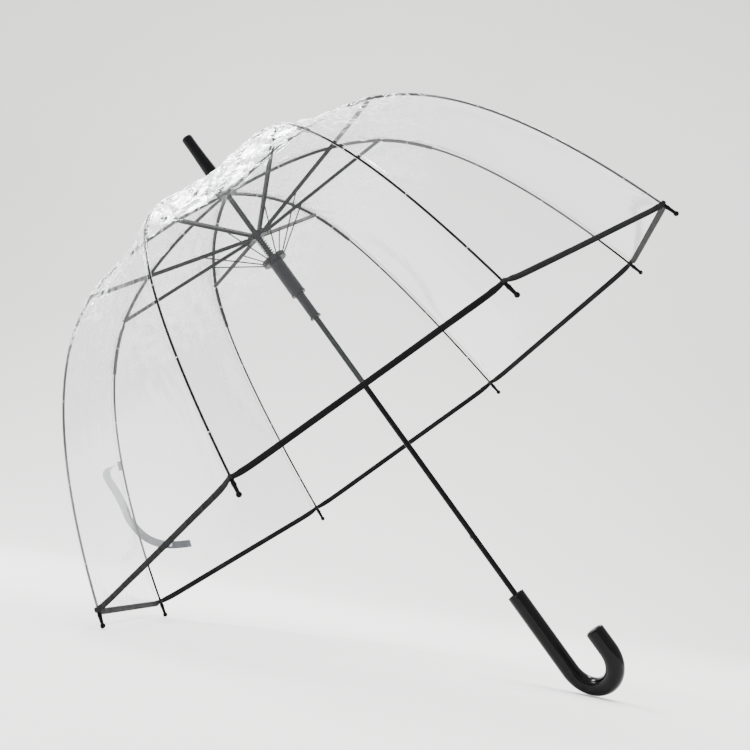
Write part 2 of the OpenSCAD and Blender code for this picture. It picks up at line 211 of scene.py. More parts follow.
def lathe(name, profile, material, segments=96, ripple=None):
    """Turned piece about the shaft's axis; the profile is a closed list of (radius, height)."""
    points = []
    for k in range(segments):
        a = math.tau * k / segments
        for r, z in profile:
            r += ripple(a, r, z) if ripple else 0
            points.append((r * math.cos(a), r * math.sin(a), z))
    faces = ring_faces(segments, len(profile), loop=True)
    return add_mesh(name, points, faces, material)


def rounded(corners, radius, steps=5):
    """A closed outline with its corners rounded; a corner can give its own radius as a third value."""
    outline = []
    for k, corner in enumerate(corners):
        here = Vector(corner[:2])
        reach = corner[2] if len(corner) > 2 else radius
        before = Vector(corners[k - 1][:2]) - here
        after = Vector(corners[(k + 1) % len(corners)][:2]) - here
        cut = min(reach, before.length * 0.49, after.length * 0.49)
        a, b = here + before.normalized() * cut, here + after.normalized() * cut
        outline += [tuple(bezier(a, here, b, t / steps)) for t in range(steps + 1)]
    return outline


def circle(radius, count=16):
    return [(radius * math.cos(math.tau * k / count), radius * math.sin(math.tau * k / count))
            for k in range(count)]


def soften(piece, width, angle=35):
    """Rounds the sharp edges of a piece with a modifier, and smooths its shading."""
    bevel = piece.modifiers.new("edges", "BEVEL")
    bevel.width = width
    bevel.segments = 2
    bevel.limit_method = "ANGLE"
    bevel.angle_limit = math.radians(angle)
    bevel.harden_normals = True
    for polygon in piece.data.polygons:
        polygon.use_smooth = True


# --- Materials -----------------------------------------------------------------------------------


class Shader:
    """Short names for building one material's nodes."""

    def __init__(self, name):
        self.material = bpy.data.materials.new(name)
        self.material.use_nodes = True
        self.tree = self.material.node_tree
        self.surface = self.tree.nodes["Principled BSDF"]
        self.output = self.tree.nodes["Material Output"]

    def node(self, kind, settings=None, **inputs):
        made = self.tree.nodes.new("ShaderNode" + kind)
        for key, value in (settings or {}).items():
            setattr(made, key, value)
        for key, value in inputs.items():
            self.put(made.inputs[key.replace("_", " ")], value)
        return made

    def put(self, socket, value):
        if isinstance(value, bpy.types.NodeSocket):
            self.tree.links.new(value, socket)
        else:
            socket.default_value = value

    def math(self, operation, a, b=0.5, clamp=False):
        made = self.node("Math", {"operation": operation, "use_clamp": clamp})
        self.put(made.inputs[0], a)
        self.put(made.inputs[1], b)
        return made.outputs[0]

    def mix(self, share, a, b):
        """Colour a where share is 0 and b where it is 1."""
        made = self.node("Mix", {"data_type": "RGBA"})
        self.put(made.inputs["Factor"], share)
        self.put(made.inputs["A"], (*a, 1) if isinstance(a, tuple) else a)
        self.put(made.inputs["B"], (*b, 1) if isinstance(b, tuple) else b)
        return made.outputs["Result"]

    def spread(self, value, low, high, to_low, to_high):
        made = self.node("MapRange", {"clamp": True}, Value=value)
        for key, number in zip(("From Min", "From Max", "To Min", "To Max"), (low, high, to_low, to_high)):
            self.put(made.inputs[key], number)
        return made.outputs["Result"]

    def place(self, kind="Object", scale=(1, 1, 1)):
        source = self.node("TexCoord").outputs[kind]
        return self.node("Mapping", Vector=source, Scale=scale).outputs["Vector"]

    def noise(self, scale, detail=3.0, where=None, rough=0.5):
        made = self.node("TexNoise", Scale=scale, Detail=detail, Roughness=rough)
        self.put(made.inputs["Vector"], where or self.place())
        return made.outputs["Factor" if "Factor" in made.outputs else "Fac"]

    def bump(self, height, strength, distance):
        made = self.node("Bump", Height=height, Strength=strength, Distance=distance)
        return made.outputs["Normal"]

    def layered(self, share, under, over):
        """Shows the shader under where share is 0 and the shader over where it is 1."""
        both = self.node("MixShader", Fac=share)
        self.put(both.inputs[1], under.outputs[0])
        self.put(both.inputs[2], over.outputs[0])
        self.put(self.output.inputs["Surface"], both.outputs[0])
        return self.material

    def set(self, **inputs):
        for key, value in inputs.items():
            self.put(self.surface.inputs[key.replace("_", " ")], value)
        return self.material


def painted_metal(name, colour, lighter, rough=0.22, shine=0.3):
    """Black paint over drawn steel: fine orange peel, drawing lines and a few rubbed spots."""
    s = Shader(name)
    peel = s.noise(2600, 2)
    drawn = s.noise(900, 2, s.place(scale=(1, 1, 0.04)))
    rubbed = s.spread(s.noise(70, 4), 0.62, 0.74, 0, 1)
    height = s.math("ADD", s.math("MULTIPLY", peel, 0.5), s.math("MULTIPLY", drawn, 0.5))
    roughness = s.math("ADD", s.spread(drawn, 0.3, 0.7, rough, rough + 0.1), s.math("MULTIPLY", rubbed, 0.08))
    return s.set(Base_Color=s.mix(rubbed, colour, lighter), Roughness=roughness, Specular_IOR_Level=shine,
                 Normal=s.bump(height, 0.25, 0.00008))


def moulded_plastic(name, colour, lighter, rough, shine=0.3, grain=1500):
    """Injection-moulded plastic: faint flow marks, fine grain and light handling marks."""
    s = Shader(name)
    flow = s.noise(22, 3, s.place(scale=(1, 1, 0.35)))
    fine = s.noise(grain, 2)
    marks = s.spread(s.noise(240, 5, s.place(scale=(1, 1, 0.15))), 0.6, 0.75, 0, 1)
    height = s.math("ADD", s.math("MULTIPLY", fine, 0.6), s.math("MULTIPLY", flow, 0.4))
    roughness = s.math("ADD", s.spread(flow, 0.3, 0.7, rough - 0.04, rough + 0.05),
                       s.math("MULTIPLY", marks, 0.05))
    return s.set(Base_Color=s.mix(s.math("MULTIPLY", marks, 0.5), colour, lighter), Roughness=roughness,
                 Specular_IOR_Level=shine, Normal=s.bump(height, 0.2, 0.00006))


def spring_metal(name, colour, rough):
    """Bare or blackened drawn wire and stamped steel."""
    s = Shader(name)
    drawn = s.noise(1200, 3)
    stain = s.noise(60, 4)
    darker = tuple(c * 0.6 for c in colour)
    return s.set(Base_Color=s.mix(s.spread(stain, 0.4, 0.7, 0, 1), colour, darker), Metallic=1.0,
                 Roughness=s.spread(drawn, 0.3, 0.7, rough - 0.06, rough + 0.08),
                 Normal=s.bump(drawn, 0.3, 0.00005))


def woven_tape(name):
    """Black grosgrain binding: fine ribs across the tape, fuzz, and lighter worn patches."""
    s = Shader(name)
    across = s.place("UV")
    ribs = s.node("TexWave", {"wave_type": "BANDS", "bands_direction": "X"}, Vector=across, Scale=420.0,
                  Distortion=0.6, Detail=2.0).outputs["Color"]
    threads = s.node("TexWave", {"wave_type": "BANDS", "bands_direction": "Y"}, Vector=across,
                     Scale=700.0, Distortion=0.4).outputs["Color"]
    fuzz = s.noise(1800, 4)
    weave = s.math("ADD", s.math("MULTIPLY", ribs, 0.6), s.math("MULTIPLY", threads, 0.4))
    height = s.math("ADD", weave, s.math("MULTIPLY", fuzz, 0.3))
    tone = s.mix(s.spread(weave, 0.2, 1.0, 0, 1), (0.002, 0.002, 0.002), (0.007, 0.007, 0.008))
    worn = s.math("MULTIPLY", s.spread(s.noise(35, 3), 0.45, 0.75, 0, 1), 0.35)
    return s.set(Base_Color=s.mix(worn, tone, (0.012, 0.012, 0.013)),
                 Roughness=s.spread(weave, 0, 1, 0.62, 0.42), Specular_IOR_Level=0.06,
                 Normal=s.bump(height, 0.6, 0.00025))


def thread(name):
    s = Shader(name)
    twist = s.node("TexWave", {"bands_direction": "DIAGONAL"}, Vector=s.place(), Scale=900.0).outputs["Color"]
    return s.set(Base_Color=s.mix(twist, (0.002, 0.002, 0.002), (0.009, 0.009, 0.01)), Roughness=0.7,
                 Sheen_Weight=0.03, Specular_IOR_Level=0.25, Normal=s.bump(twist, 0.5, 0.0001))


def clear_film(name, haze, crease_gain, veil=True, rough=0.06):
    """Thin clear film: it mirrors a little, more at a slant, and its crumpled places turn milky."""
    s = Shader(name)
    where = s.place("UV")
    warp = s.node("TexNoise", Vector=where, Scale=26.0, Detail=2.0).outputs["Color"]
    pushed = s.node("Mix", {"data_type": "VECTOR"}, Factor=0.03)
    s.put(pushed.inputs[4], where)
    s.put(pushed.inputs[5], warp)
    creases = []
    for size, line in ((30.0, 0.06), (78.0, 0.10)):
        cells = s.node("TexVoronoi", {"feature": "DISTANCE_TO_EDGE"}, Vector=pushed.outputs[1], Scale=size)
        fold = s.spread(cells.outputs["Distance"], 0.0, line, 1, 0)
        broken = s.spread(s.noise(size * 1.1, 4, where), 0.42, 0.54, 0, 1)
        creases.append(s.math("MULTIPLY", fold, broken))
    crumpled = s.node("Attribute", {"attribute_name": "crumple"}).outputs["Fac"]
    network = s.math("MULTIPLY", s.math("MAXIMUM", creases[0], creases[1]), crumpled)
    ripples = s.noise(120, 4, where)
    height = s.math("ADD", network, s.math("MULTIPLY", ripples, 0.3))
    normal = s.bump(height, 0.6, 0.0007)
    mirror = s.math("MINIMUM", s.node("Fresnel", IOR=1.5, Normal=normal).outputs[0], 0.30)
    if veil:
        shown = s.node("Attribute", {"attribute_name": "veil"}).outputs["Fac"]
        mirror = s.math("MULTIPLY", mirror, s.spread(shown, 0, 1, 0.15, 1))
    patches = s.spread(s.noise(42, 6, where, 0.6), 0.50, 0.60, 0, 1)
    cloudy = s.math("MULTIPLY", patches, s.math("MULTIPLY", crumpled, 0.20))
    milky = s.math("ADD", s.math("MULTIPLY", network, crease_gain), cloudy)
    share = s.math("ADD", s.math("ADD", mirror, milky), haze, clamp=True)
    s.set(Base_Color=(0.97, 0.98, 1.0, 1), Metallic=s.spread(milky, 0, 0.3, 0.9, 0.1), Normal=normal,
          Roughness=s.spread(milky, 0, 0.4, rough, 0.38))
    clear = s.node("BsdfTransparent", Color=(0.99, 0.99, 0.992, 1))
    return s.layered(share, clear, s.surface)


def smoky_film(name, tint, cover, rough, cover_and_shade_gain=0.0):
    """Frosted or smoky film; where it is given extra cover it hides more of what is behind it, and on the strap
    that extra cover is painted shade that darkens its tail.
    """
    s = Shader(name)
    cloud = s.noise(90, 4)
    share = s.spread(cloud, 0.3, 0.7, cover - 0.06, cover + 0.06)
    if cover_and_shade_gain:
        # Painted shade: extra cover darkens the strap towards its tail.
        cover_and_shade = s.node("Attribute", {"attribute_name": "cover_and_shade"}).outputs["Fac"]
        share = s.math("ADD", share, s.math("MULTIPLY", cover_and_shade, cover_and_shade_gain), clamp=True)
    s.set(Base_Color=s.mix(cloud, tint, tuple(min(c * 1.25, 1) for c in tint)), Roughness=rough,
          Specular_IOR_Level=0.2, Normal=s.bump(s.noise(400, 3), 0.3, 0.0002))
    clear = s.node("BsdfTransparent", Color=(0.9, 0.92, 0.95, 1))
    return s.layered(share, clear, s.surface)


STEEL = painted_metal("black_steel", (0.002, 0.002, 0.0025), (0.008, 0.008, 0.009), 0.28, 0.08)
ENAMEL = painted_metal("rib_enamel", (0.002, 0.002, 0.0025), (0.006, 0.006, 0.007), 0.4, 0.06)
HUBS = moulded_plastic("hub_black", (0.003, 0.003, 0.004), (0.010, 0.010, 0.012), 0.38, 0.15)
GLOSS = moulded_plastic("handle_gloss", (0.001, 0.001, 0.0012), (0.003, 0.003, 0.003), 0.13, 0.13, 900)
SATIN = moulded_plastic("ferrule_satin", (0.0015, 0.0015, 0.002), (0.005, 0.005, 0.005), 0.42, 0.1)
WIRE = spring_metal("spring_wire", (0.03, 0.032, 0.035), 0.35)
BRIGHT = spring_metal("bright_steel", (0.62, 0.63, 0.65), 0.28)
TAPE = woven_tape("black_tape")
THREAD = thread("black_thread")
CLEAR = clear_film("clear_film", 0.002, 0.9)
SEAM = clear_film("weld_seam", 0.35, 0.0, False, 0.2)
COLLAR = smoky_film("collar_film", (0.62, 0.66, 0.70), 0.5, 0.22)
# The strap's last number is the strength of its painted shade, which darkens the tail.
STRAP = smoky_film("strap_film", (0.022, 0.027, 0.036), 0.55, 0.3, 0.38)

# --- Canopy --------------------------------------------------------------------------------------

ROWS_UPPER, COLUMNS_UPPER = 120, 96
ROWS_LOWER, COLUMNS_LOWER = 100, 72
SAG_UPPER, SAG_LOWER = 0.10, 0.035
HEM_DROP = 3.2 * MM
FOLD_KEEP = 0.11
SLACK_GORE = 5.7
RIB_HALF_WIDTH = 2.1 * MM
WIDE_CREASE, FINE_CREASE = 6.4 * MM, 2.1 * MM
DRAPE_HEIGHT = 1.3 * MM
STREAK_HEIGHT = 4.2 * MM
PULL_HEIGHT, PULL_REACH = 0.45 * MM, 55 * MM


def slackness(gore):
    """How loose a gore hangs: the ones on the side that lies on the floor have the most slack."""
    return 0.12 + 0.88 * max(math.cos((gore - SLACK_GORE) * STEP), 0) ** 3


def crumple(s, ragged=0.0):
    """How crumpled the film is at a length along it: strong round the crown, gone below the elbow."""
    rise = smooth(3 * MM, 20 * MM, s)
    return rise * (1 - smooth(ELBOW_LENGTH * (1.02 + ragged), ELBOW_LENGTH * (1.52 + ragged), s))


def facets(where):
    """Height of crumpled sheet: flat-sided hollows that meet in sharp ridges."""
    return noise.voronoi(where)[0][0] - 0.45


def ragged_edge(gore, across):
    return 0.22 * noise.noise(Vector((across * 22, gore * 5.1, 2.2)))


def relief(gore, s, across, half):
    """Height of the film's creases, folds and ripples above its taut shape."""
    edge = half - abs(across)
    held = 1 - math.exp(-((edge / (6 * MM)) ** 2))
    seed = gore * 3.7
    swirl = noise.noise(Vector((across * 30, s * 22, seed))) * 0.8
    wide = Vector((across * 46 - swirl, s * 32 + swirl, seed + 5))
    fine = Vector((across * 118 + swirl, s * 88 - swirl, seed + 11))
    crown = crumple(s, ragged_edge(gore, across)) * (WIDE_CREASE * facets(wide) + FINE_CREASE * facets(fine))
    drape = noise.noise(Vector((across * 9, s * 4, seed + 23))) * DRAPE_HEIGHT
    slack = slackness(gore)
    below = smooth(ELBOW_LENGTH * 0.9, ELBOW_LENGTH * 1.25, s)
    fan = across / (0.3 + half) * 130
    folds = noise.noise(Vector((fan, s * 3.2, seed + 37)))
    streak = below * slack * max(folds, 0) ** 1.5 * STREAK_HEIGHT
    streak *= 1 - 0.6 * smooth(0.80, 1.0, s / HEM_LENGTH)
    corner = math.hypot(edge, HEM_LENGTH - s)
    pull = math.sin(math.atan2(edge, HEM_LENGTH - s + 1e-6) * 22 + seed)
    pull *= PULL_HEIGHT * math.exp(-corner / PULL_REACH)
    return held * (crown + drape * (0.35 + slack) * smooth(0, 60 * MM, s) + streak + pull)


def over_rib(edge):
    """The film lies flat over a rib before it turns into the gore."""
    past = max(edge - RIB_HALF_WIDTH, 0)
    return min(edge, RIB_HALF_WIDTH) * math.tan(HALF) * math.exp(-((past / (7 * MM)) ** 2))


def hem_shift(s, across, half):
    """The hem hangs a little below its corners between two ribs."""
    near = smooth(HEM_LENGTH - 70 * MM, HEM_LENGTH, s)
    return HEM_DROP * near * (1 - math.exp(-(half - abs(across)) / (9 * MM)))


def film_point(gore, s, u):
    """Point of gore's film at length s and share u across, from -1 to 1."""
    p, d = FILM.at(s)
    half = p.x * math.sin(HALF)
    across = u * half
    p = p + d * hem_shift(s, across, half)
    out = outward(d)
    sag = SAG_UPPER + (SAG_LOWER - SAG_UPPER) * smooth(ELBOW_LENGTH * 0.8, ELBOW_LENGTH * 1.5, s)
    hollow = sag * half * smooth(0, ELBOW_LENGTH * 0.4, s) * (1 - smooth(0.86, 1.0, s / HEM_LENGTH))
    height = relief(gore, s, across, half) - hollow * (1 - u * u)
    height += over_rib(half - abs(across)) * smooth(2 * MM, 20 * MM, s)
    flat = Vector((p.x * math.cos(HALF) + out.x * height, across, p.y + out.y * height))
    return turned(STEP * gore) @ flat


def spaced(t):
    """Shares across a gore, closer together near its ribs."""
    return 1.5 * t - 0.5 * t**3


def film_sheet(name, gore, low, high, rows, columns):
    points, faces, uvs, crumples, veils = [], [], [], [], []
    for a in range(rows + 1):
        s = low + (high - low) * a / rows
        half = FILM.at(s)[0].x * math.sin(HALF)
        for b in range(columns + 1):
            u = spaced(2 * b / columns - 1)
            edge = half * (1 - abs(u))
            points.append(film_point(gore, s, u))
            uvs.append((u * half + gore * 0.5, s))
            crumples.append(crumple(s, ragged_edge(gore, u * half)))
            veils.append(smooth(RIB_HALF_WIDTH * 0.9, RIB_HALF_WIDTH * 1.7, edge))
    for a in range(rows):
        for b in range(columns):
            k = a * (columns + 1) + b
            faces.append((k, k + columns + 1, k + columns + 2, k + 1))
    piece = add_mesh(name, points, faces, CLEAR)
    layer = piece.data.uv_layers.new(name="film")
    for loop in piece.data.loops:
        layer.data[loop.index].uv = uvs[loop.vertex_index]
    for mark, values in (("crumple", crumples), ("veil", veils)):
        piece.data.attributes.new(mark, "FLOAT", "POINT").data.foreach_set("value", values)
    return piece


def flat_area(low, high, steps=60):
    """Area of one gore between two lengths, laid flat."""
    middle = (low + (high - low) * (k + 0.5) / steps for k in range(steps))
    return sum(2 * FILM.at(s)[0].x * math.sin(HALF) for s in middle) * (high - low) / steps


def fold(piece, joint, gore, keep=FOLD_KEEP):
    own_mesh(piece)


def declare_film(low, high):
    flat_area(low, high)


def make_gore(i):
    upper = film_sheet(f"film_upper_{i}", i, 0, ELBOW_LENGTH, ROWS_UPPER, COLUMNS_UPPER)
    lower = film_sheet(f"film_lower_{i}", i, ELBOW_LENGTH, HEM_LENGTH, ROWS_LOWER, COLUMNS_LOWER)
    for piece, body, joint in ((upper, f"gore_{i}", f"gore_fold_{i}"), (lower, f"hem_{i}", f"hem_flex_{i}")):
        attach(piece, body)
        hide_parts(f"gore_{i}")
        fold(piece, joint, i)
    declare_film(0, ELBOW_LENGTH)
    declare_film(ELBOW_LENGTH, HEM_LENGTH)


# --- Hem tape ------------------------------------------------------------------------------------

TAPE_COLUMNS = 150
TAPE_RISE = 5.8 * MM
TAPE_BELOW = 1.3 * MM
STITCH_PITCH = 3.4 * MM
STITCH_LENGTH = 2.4 * MM


def hem_frame(gore, u):
    """Matrix on the hem: X across the film outwards, Y up the film, Z along the hem."""
    place = film_point(gore, HEM_LENGTH, u)
    along = film_point(gore, HEM_LENGTH, u + 0.004) - film_point(gore, HEM_LENGTH, u - 0.004)
    up = film_point(gore, HEM_LENGTH - 5 * MM, u) - film_point(gore, HEM_LENGTH + 1 * MM, u)
    along.normalize()
    up = (up - along * up.dot(along)).normalized()
    return axes_matrix(up.cross(along), up, along, place)


def tape_section(grow):
    """Folded tape: two bowed sides, a round fold below, and the film's slot on top."""
    bow = 0.95 * MM
    rise = TAPE_RISE * grow
    outer = [(0.38 * MM, rise), (0.62 * MM, rise - 0.5 * MM), (bow, rise * 0.5), (0.8 * MM, 0),
             (0.45 * MM, -TAPE_BELOW * 0.75), (0, -TAPE_BELOW)]
    inner = [(-x, y) for x, y in reversed(outer[:-1])]
    return outer + inner + [(0, rise - 0.6 * MM)]


def make_tape(i):
    points, lengths = [], []
    half = HEM.x * math.sin(HALF)
    for k in range(TAPE_COLUMNS + 1):
        u = 2 * k / TAPE_COLUMNS - 1
        place = hem_frame(i, u * 0.998)
        edge = half * (1 - abs(u))
        grow = 0.72 + 0.28 * smooth(0, 14 * MM, edge)
        pucker = 0.14 * MM * math.sin(u * half / (1.15 * MM)) * smooth(0, 10 * MM, edge)
        for x, y in tape_section(grow):
            points.append(place @ Vector((x + pucker * y / TAPE_RISE, y, 0)))
            lengths.append((u * half, y))
    count = len(tape_section(1))
    tape = add_mesh(f"tape_{i}", points, ring_faces(TAPE_COLUMNS + 1, count), TAPE)
    layer = tape.data.uv_layers.new(name="tape")
    for loop in tape.data.loops:
        layer.data[loop.index].uv = lengths[loop.vertex_index]
    stitches = make_stitches(i, half)
    for piece in (tape, stitches):
        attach(piece, f"hem_{i}")
        fold(piece, f"hem_flex_{i}", i)
    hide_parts(f"hem_tape_{i}")


def make_stitches(i, half):
    """Row of thread stitches near the tape's upper edge, on both sides."""
    points, faces = [], []
    count = int(2 * (half - 9 * MM) / STITCH_PITCH)
    for k in range(count):
        u = (k - (count - 1) / 2) * STITCH_PITCH / half
        place = hem_frame(i, u)
        for side in (-1, 1):
            start = len(points)
            for end in (-1, -0.4, 0.4, 1):
                thick = 0.24 * MM * (1 - 0.65 * abs(end))
                for x, y in circle(thick, 6):
                    out = side * (0.72 * MM + x + 0.1 * MM * (1 - end * end))
                    points.append(place @ Vector((out, TAPE_RISE - 1.4 * MM + y, end * STITCH_LENGTH / 2)))
            faces += [tuple(v + start for v in f) for f in ring_faces(4, 6)]
    return add_mesh(f"tape_stitch_{i}", points, faces, THREAD)


# --- Weld seams, ties and threads on the ribs -------------------------------------------------------

BEAD_RADIUS = 0.34 * MM
BEAD_APART = 3.0 * MM
TIES_UPPER = (0.34, 0.68)
TIES_LOWER = (0.1, 0.36, 0.62, 0.86)


def rib_frame(i, s, lift=0.0):
    """Matrix over rib i at length s of the film: X outwards, Y sideways, Z down the rib."""
    p, d = FILM.at(s)
    out = outward(d)
    p = p + out * lift
    flat = axes_matrix(Vector((out.x, 0, out.y)), Vector((0, 1, 0)), Vector((d.x, 0, d.y)),
                       Vector((p.x, 0, p.y)))
    return turned(rib_angle(i)) @ flat


def make_seam(name, i, body, low, high):
    """Weld of two gores: a bead of melted film on each side of the rib, broken up like a row of dots."""
    points, faces, uvs = [], [], []
    rows = int((high - low) / (1.6 * MM))
    count = 8
    for side in (-1, 1):
        start = len(points)
        for k in range(rows + 1):
            s = low + (high - low) * k / rows
            place = rib_frame(i, s, -0.2 * MM)
            spread = side * BEAD_APART * (0.4 + 0.6 * smooth(8 * MM, 60 * MM, s))
            pulse = 0.55 + 0.45 * math.sin(k * 2.1 + i) * math.sin(k * 0.37)
            end = min(k, rows - k, 3) / 3
            for x, y in circle(BEAD_RADIUS * pulse * (0.2 + 0.8 * end), count):
                points.append(place @ Vector((x * 0.8, spread + y * 1.4, 0)))
                uvs.append((spread + i * 0.5 + 0.25, s))
        faces += [tuple(v + start for v in f) for f in ring_faces(rows + 1, count)]
    piece = add_mesh(name, points, faces, SEAM)
    layer = piece.data.uv_layers.new(name="film")
    for loop in piece.data.loops:
        layer.data[loop.index].uv = uvs[loop.vertex_index]
    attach(piece, body)


def wrap(place, width, depth, turns, gauge, phase=0.0):
    """Points and faces of a thread wound round a bar of the given width and depth."""
    steps = 16 * turns
    points = []
    for k in range(steps + 1):
        a = math.tau * k / 16 + phase
        drift = (k / steps - 0.5) * turns * gauge * 2.1
        centre = Vector((depth / 2 * math.cos(a), width / 2 * math.sin(a), drift))
        side = Vector((math.cos(a), math.sin(a), 0))
        for j in range(6):
            b = math.tau * j / 6
            points.append(place @ (centre + side * (gauge * math.cos(b)) + Z * (gauge * math.sin(b))))
    return points, ring_faces(steps + 1, 6)


def make_ties(name, i, body, places):
    """Short loops of clear cord that hold the seam to the rib."""
    points, faces = [], []
    for s in places:
        more, rings = wrap(rib_frame(i, s, -FILM_OFFSET), 4.4 * MM, 4.3 * MM, 3, 0.22 * MM)
        faces += [tuple(v + len(points) for v in f) for f in rings]
        points += more
    piece = add_mesh(name, points, faces, SEAM)
    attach(piece, body)


def make_tip_thread(i):
    """Thread that binds the corner of the hem tape to the rib's end."""
    place = rib_frame(i, HEM_LENGTH - 1.5 * MM, -FILM_OFFSET * 0.6)
    points, faces = wrap(place, 5.6 * MM, 6.0 * MM, 6, 0.36 * MM)
    for turn, reach in ((0.5, 2), (-0.5, 2)):
        cross = place @ Matrix.Rotation(turn, 4, "X")
        more, rings = wrap(cross, 6.2 * MM, 6.4 * MM, reach, 0.36 * MM, 0.7)
        faces += [tuple(v + len(points) for v in f) for f in rings]
        points += more
    piece = add_mesh(f"tip_thread_{i}", points, faces, THREAD)
    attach(piece, f"lower_{i}")


def make_rib_dressing(i):
    lower_length = HEM_LENGTH - ELBOW_LENGTH
    make_seam(f"seam_upper_{i}", i, f"rib_{i}", 8 * MM, ELBOW_LENGTH - 0.5 * MM)
    make_seam(f"seam_lower_{i}", i, f"lower_{i}", ELBOW_LENGTH + 0.5 * MM, HEM_LENGTH - 6 * MM)
    make_ties(f"tie_upper_{i}", i, f"rib_{i}", [ELBOW_LENGTH * t for t in TIES_UPPER])
    make_ties(f"tie_lower_{i}", i, f"lower_{i}", [ELBOW_LENGTH + lower_length * t for t in TIES_LOWER])
    make_tip_thread(i)


# --- Handle, ferrule, collar and spring ------------------------------------------------------------

GRIP_RADIUS = 10.5 * MM
GRIP_TOP = 56 * MM
BEND_HEIGHT = -52 * MM
CROOK_RADIUS = 34 * MM
CROOK_END = 26 * MM


def handle_path():
    """Frames down the grip, round the bend and up to the crook's end."""
    frames = []
    for k in range(28):
        z = GRIP_TOP - (GRIP_TOP - BEND_HEIGHT) * k / 28
        frames.append(axes_matrix(Vector((1, 0, 0)), Vector((0, -1, 0)), Vector((0, 0, -1)), Vector((0, 0, z))))
    centre = Vector((CROOK_RADIUS, 0, BEND_HEIGHT))
    for k in range(73):
        a = math.pi * k / 72
        inward = Vector((math.cos(a), 0, math.sin(a)))
        ahead = Vector((math.sin(a), 0, -math.cos(a)))
        frames.append(axes_matrix(inward, Vector((0, -1, 0)), ahead, centre - inward * CROOK_RADIUS))
    for k in range(1, 12):
        place = Vector((2 * CROOK_RADIUS, 0, BEND_HEIGHT + CROOK_END * k / 12))
        frames.append(axes_matrix(Vector((-1, 0, 0)), Vector((0, -1, 0)), Z, place))
    return frames


def make_handle():
    frames = handle_path()
    last, first = frames[-1], frames[0]
    section = circle(1, 64)
    rings = []
    top = [(3.6, -9.0), (3.6, -1.6), (3.9, -1.2), (8.1, -1.2), (8.5, -0.9), (8.7, -0.15), (9.0, 0.0),
           (9.8, -0.05), (10.25, -0.4), (10.5, -1.1), (10.5, -3.0), (10.38, -3.3), (10.5, -3.6)]
    for r, z in top:
        rings.append((first @ Matrix.Translation((0, 0, -z * MM)), r * MM))
    count = len(frames)
    for k, place in enumerate(frames[2:], 2):
        rings.append((place, GRIP_RADIUS * (1 + 0.06 * smooth(0.25, 0.9, k / count))))
    grown = rings[-1][1]
    for k in range(1, 15):
        a = math.pi / 2 * k / 14
        reach = 6.5 * MM * math.sin(a) if k < 14 else 6.5 * MM
        radius = grown * (math.cos(a) ** 0.55 if k < 14 else 0.02)
        rings.append((last @ Matrix.Translation((0, 0, reach * 0.62)), radius))
    points = [place @ Vector((x * r, y * r, 0)) for place, r in rings for x, y in section]
    piece = add_mesh("crook_handle", points, ring_faces(len(rings), 64), GLOSS)
    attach(piece, "shaft")
    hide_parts("handle")


def make_ferrule():
    low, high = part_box("ferrule")
    bottom, top = low.z, high.z
    wide, narrow = 8.3 * MM, 7.0 * MM
    straight = top - 20 * MM
    corners = [(3.52 * MM, bottom, 0.1 * MM), (wide - 0.6 * MM, bottom, 0.3 * MM),
               (wide, bottom + 0.7 * MM, 0.3 * MM), (wide - 0.02 * MM, bottom + 3.2 * MM, 0.2 * MM),
               (wide - 0.3 * MM, bottom + 3.5 * MM, 0.2 * MM), (wide - 0.3 * MM, bottom + 4.0 * MM, 0.2 * MM),
               (wide - 0.08 * MM, bottom + 4.3 * MM, 0.2 * MM), (narrow, straight, 3 * MM),
               (narrow, top - 2.2 * MM, 0.8 * MM), (narrow - 1.6 * MM, top, 0.9 * MM),
               (2.4 * MM, top, 0.3 * MM), (2.1 * MM, top - 0.8 * MM, 0.3 * MM),
               (0.02 * MM, top - 0.8 * MM, 0.01 * MM),
               (0.02 * MM, top - 39.8 * MM, 0.01 * MM), (3.52 * MM, top - 39.8 * MM, 0.1 * MM)]
    piece = lathe("ferrule_cap", rounded(corners, 0.3 * MM), SATIN)
    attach(piece, "shaft")
    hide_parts("ferrule")


def make_collar():
    low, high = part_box("top_collar")
    bottom, top = low.z, high.z
    corners = [(3.52 * MM, bottom + 0.2 * MM), (15.5 * MM, bottom + 0.1 * MM), (16.0 * MM, bottom + 0.5 * MM),
               (12.2 * MM, bottom + 2.6 * MM, 2 * MM), (9.4 * MM, bottom + 9 * MM, 4 * MM), (8.0 * MM, top),
               (7.2 * MM, top), (3.52 * MM, top)]

    def flutes(a, r, z):
        skirt = smooth(6 * MM, 15 * MM, r) * (1 - smooth(bottom, bottom + 12 * MM, z) * 0.7)
        return skirt * (0.55 * math.cos(8 * a + 0.4) + 0.35 * math.sin(13 * a)) * MM

    piece = lathe("apex_collar", rounded(corners, 0.4 * MM), COLLAR, 128, flutes)
    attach(piece, "shaft")
    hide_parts("top_collar")


def make_spring():
    low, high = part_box("opening_spring")
    radius, wire, turns = 5.0 * MM, 0.65 * MM, 24
    bottom, top = low.z + wire, high.z - wire
    steps = 28 * turns
    points = []
    for k in range(steps + 1):
        share = k / steps
        closing = 0.5 - 0.5 * math.cos(math.pi * min(share * 12, 1))
        opening = 0.5 - 0.5 * math.cos(math.pi * min((1 - share) * 12, 1))
        a = math.tau * turns * share
        side = Vector((math.cos(a), math.sin(a), 0))
        height = bottom + (top - bottom) * share
        gauge = wire * (0.55 + 0.45 * min(closing, opening))
        centre = side * radius + Z * height
        for j in range(10):
            b = math.tau * j / 10
            points.append(centre + side * (gauge * math.cos(b)) + Z * (gauge * math.sin(b)))
    piece = add_mesh("coil_spring", points, ring_faces(steps + 1, 10), WIRE)
    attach(piece, "hub")
    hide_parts("opening_spring")
    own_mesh(piece)


# --- Closing strap -----------------------------------------------------------------------------------

STRAP_RIB = 4
STRAP_WIDTH = 10 * MM
STRAP_TOP, STRAP_LOW = 0.60, 0.91
STRAP_LIFT = 4.2 * MM
STRAP_LOOP = 19 * MM
STRAP_DRIFT = 78 * MM
STRAP_STEPS = 150
STRAP_TURN = math.radians(-60)


